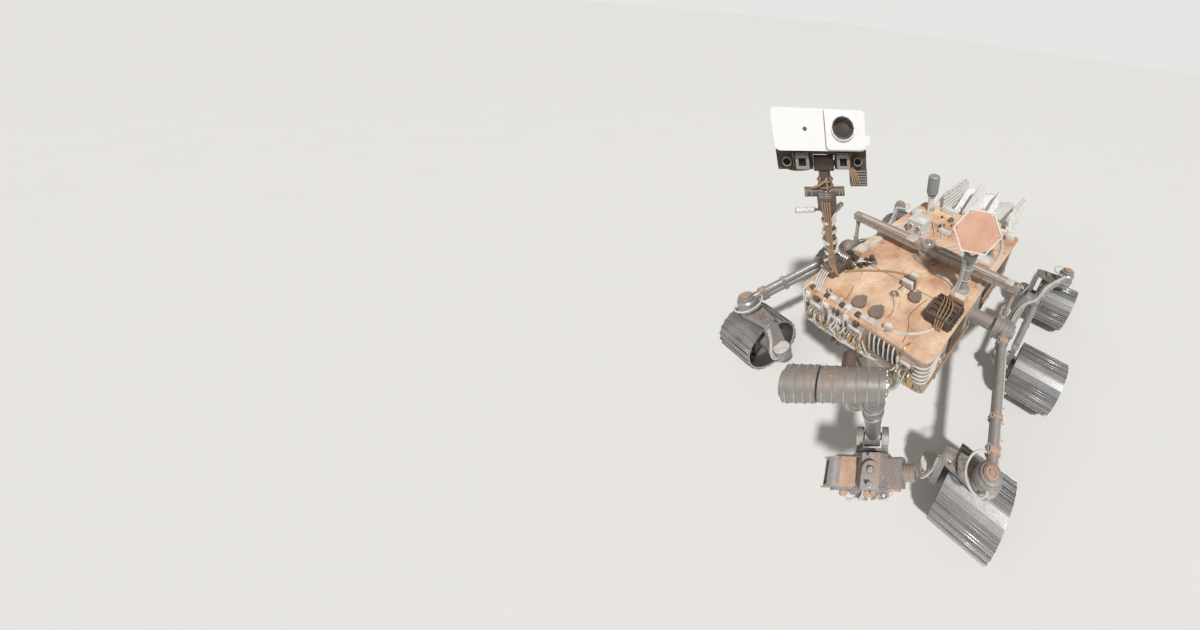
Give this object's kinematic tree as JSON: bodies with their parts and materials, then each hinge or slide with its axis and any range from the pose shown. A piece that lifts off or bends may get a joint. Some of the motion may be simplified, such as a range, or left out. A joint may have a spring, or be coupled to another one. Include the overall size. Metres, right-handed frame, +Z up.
{
  "type": "six-wheeled planetary rover",
  "caption": "Wheeled exploration machine on rocker-bogie suspension, with camera mast, folded tool arm, deck aerials and a finned generator aft.",
  "frame": {"origin": "on the ground, half way along the whole machine and on its centre line", "axes": "+X forward, +Y to port, +Z up"},
  "size_m": [3.2824, 2.8, 2.2622],
  "materials": {
    "wheel_metal": "machined, scuffed and dusty",
    "hub_metal": "satin",
    "leg_paint": "matt grey, dusty",
    "body_white": "matt white under dust",
    "deck_dust": "matt white under tan dust",
    "beam_grey": "matt, dusty",
    "head_white": "matt white",
    "camera_dark": "matt dark",
    "mast_grey": "matt, dusty",
    "antenna_face": "satin, tinted by dust",
    "aerial_grey": "matt",
    "fitting_dark": "matt",
    "arm_grey": "matt, dusty",
    "turret_grey": "matt, dusty",
    "generator_white": "matt white",
    "exchanger_white": "matt white"
  },
  "bodies": {
    "root": {"rocker_left": "leg_paint", "bogie_left": "leg_paint", "rocker_right": "leg_paint", "bogie_right": "leg_paint", "body_box": "body_white", "deck_panel": "deck_dust", "differential_beam": "beam_grey", "differential_pivot": "beam_grey", "differential_link_left": "beam_grey", "differential_link_right": "beam_grey", "mast_base": "mast_grey", "mast_column": "mast_grey", "antenna_post": "mast_grey", "uhf_antenna": "aerial_grey", "low_gain_antenna": "aerial_grey", "deck_box_aft": "deck_dust", "deck_box_side": "deck_dust", "deck_boxes": "deck_dust", "inlet_funnel_front": "fitting_dark", "inlet_funnel_middle": "fitting_dark", "inlet_funnel_port": "fitting_dark", "lift_fittings": "fitting_dark", "hazard_cameras_front": "camera_dark", "hazard_cameras_rear": "camera_dark", "arm_bracket": "arm_grey", "generator": "generator_white", "heat_exchanger_left": "exchanger_white", "heat_exchanger_right": "exchanger_white"},
    "wheel_front_left": {"rim_front_left": "wheel_metal", "hub_front_left": "hub_metal"},
    "steer_front_left": {"strut_front_left": "leg_paint"},
    "wheel_front_right": {"rim_front_right": "wheel_metal", "hub_front_right": "hub_metal"},
    "steer_front_right": {"strut_front_right": "leg_paint"},
    "wheel_middle_left": {"rim_middle_left": "wheel_metal", "hub_middle_left": "hub_metal"},
    "wheel_middle_right": {"rim_middle_right": "wheel_metal", "hub_middle_right": "hub_metal"},
    "wheel_rear_left": {"rim_rear_left": "wheel_metal", "hub_rear_left": "hub_metal"},
    "steer_rear_left": {"strut_rear_left": "leg_paint"},
    "wheel_rear_right": {"rim_rear_right": "wheel_metal", "hub_rear_right": "hub_metal"},
    "steer_rear_right": {"strut_rear_right": "leg_paint"},
    "mast_pan": {"pan_unit": "mast_grey"},
    "mast_tilt": {"camera_bar": "camera_dark", "mast_head": "head_white"},
    "antenna_pan": {"antenna_yoke": "mast_grey"},
    "antenna_tilt": {"antenna_panel": "antenna_face"},
    "arm_pan": {"arm_shoulder": "arm_grey"},
    "arm_lift": {"arm_upper_link": "arm_grey"},
    "arm_elbow": {"arm_forearm": "arm_grey"},
    "arm_wrist_body": {"arm_wrist": "arm_grey"},
    "arm_turret": {"turret": "turret_grey"},
    "inlet_cover_front_body": {"inlet_cover_front": "fitting_dark"},
    "inlet_cover_middle_body": {"inlet_cover_middle": "fitting_dark"},
    "inlet_cover_port_body": {"inlet_cover_port": "fitting_dark"}
  },
  "joints": [
    {"name": "steering_front_left", "type": "hinge", "parent": "root", "child": "steer_front_left", "pos_m": [1.04412, 1.1, 0.605], "axis": [0, 0, 1], "range_deg": [-95, 95]},
    {"name": "drive_front_left", "type": "hinge", "parent": "steer_front_left", "child": "wheel_front_left", "pos_m": [1.04412, 1.1, 0.24851], "axis": [0, 1, 0], "continuous": true},
    {"name": "steering_front_right", "type": "hinge", "parent": "root", "child": "steer_front_right", "pos_m": [1.04412, -1.1, 0.605], "axis": [0, 0, 1], "range_deg": [-95, 95]},
    {"name": "drive_front_right", "type": "hinge", "parent": "steer_front_right", "child": "wheel_front_right", "pos_m": [1.04412, -1.1, 0.24851], "axis": [0, 1, 0], "continuous": true},
    {"name": "drive_middle_left", "type": "hinge", "parent": "root", "child": "wheel_middle_left", "pos_m": [-0.10588, 1.2, 0.24851], "axis": [0, 1, 0], "continuous": true},
    {"name": "drive_middle_right", "type": "hinge", "parent": "root", "child": "wheel_middle_right", "pos_m": [-0.10588, -1.2, 0.24851], "axis": [0, 1, 0], "continuous": true},
    {"name": "steering_rear_left", "type": "hinge", "parent": "root", "child": "steer_rear_left", "pos_m": [-1.20588, 1.1, 0.605], "axis": [0, 0, 1], "range_deg": [-95, 95]},
    {"name": "drive_rear_left", "type": "hinge", "parent": "steer_rear_left", "child": "wheel_rear_left", "pos_m": [-1.20588, 1.1, 0.24851], "axis": [0, 1, 0], "continuous": true},
    {"name": "steering_rear_right", "type": "hinge", "parent": "root", "child": "steer_rear_right", "pos_m": [-1.20588, -1.1, 0.605], "axis": [0, 0, 1], "range_deg": [-95, 95]},
    {"name": "drive_rear_right", "type": "hinge", "parent": "steer_rear_right", "child": "wheel_rear_right", "pos_m": [-1.20588, -1.1, 0.24851], "axis": [0, 1, 0], "continuous": true},
    {"name": "mast_pan_turn", "type": "hinge", "parent": "root", "child": "mast_pan", "pos_m": [0.63412, -0.478, 1.74], "axis": [0, 0, 1], "range_deg": [-227, 133]},
    {"name": "mast_tilt_turn", "type": "hinge", "parent": "mast_pan", "child": "mast_tilt", "pos_m": [0.63412, -0.478, 1.95], "axis": [0.7314, -0.682, 0], "range_deg": [-102, 76]},
    {"name": "antenna_pan_turn", "type": "hinge", "parent": "root", "child": "antenna_pan", "pos_m": [0.17412, 0.41, 1.45], "axis": [0, 0, 1], "range_deg": [-170, 170]},
    {"name": "antenna_tilt_turn", "type": "hinge", "parent": "antenna_pan", "child": "antenna_tilt", "pos_m": [0.17412, 0.41, 1.55], "axis": [0.342, -0.9397, 0], "range_deg": [-42, 58]},
    {"name": "arm_pan_turn", "type": "hinge", "parent": "root", "child": "arm_pan", "pos_m": [1.13412, 0.2, 0.8], "axis": [0, 0, 1], "range_deg": [-125, 35]},
    {"name": "arm_lift_turn", "type": "hinge", "parent": "arm_pan", "child": "arm_lift", "pos_m": [1.13412, 0.2, 0.9], "axis": [0.5736, -0.8192, 0], "range_deg": [-110, 30]},
    {"name": "arm_elbow_turn", "type": "hinge", "parent": "arm_lift", "child": "arm_elbow", "pos_m": [1.47407, 0.43803, 1.6188], "axis": [-0.5736, 0.8192, 0], "range_deg": [-287, 3]},
    {"name": "arm_wrist_turn", "type": "hinge", "parent": "arm_elbow", "child": "arm_wrist_body", "pos_m": [1.33835, 0.4895, 0.95379], "axis": [0.5736, -0.8192, 0], "range_deg": [-180, 10]},
    {"name": "arm_turret_turn", "type": "hinge", "parent": "arm_wrist_body", "child": "arm_turret", "pos_m": [1.46655, 0.57927, 0.92053], "axis": [0.8013, 0.561, -0.2079], "range_deg": [-177.5, 177.5]},
    {"name": "inlet_cover_front_hinge", "type": "hinge", "parent": "root", "child": "inlet_cover_front_body", "pos_m": [0.71412, 0.06, 1.1328], "axis": [0, -1, 0], "range_deg": [0, 110]},
    {"name": "inlet_cover_middle_hinge", "type": "hinge", "parent": "root", "child": "inlet_cover_middle_body", "pos_m": [0.71412, -0.09, 1.1328], "axis": [0, -1, 0], "range_deg": [0, 110]},
    {"name": "inlet_cover_port_hinge", "type": "hinge", "parent": "root", "child": "inlet_cover_port_body", "pos_m": [0.44012, 0.19, 1.1328], "axis": [0, -1, 0], "range_deg": [0, 110]}
  ]
}
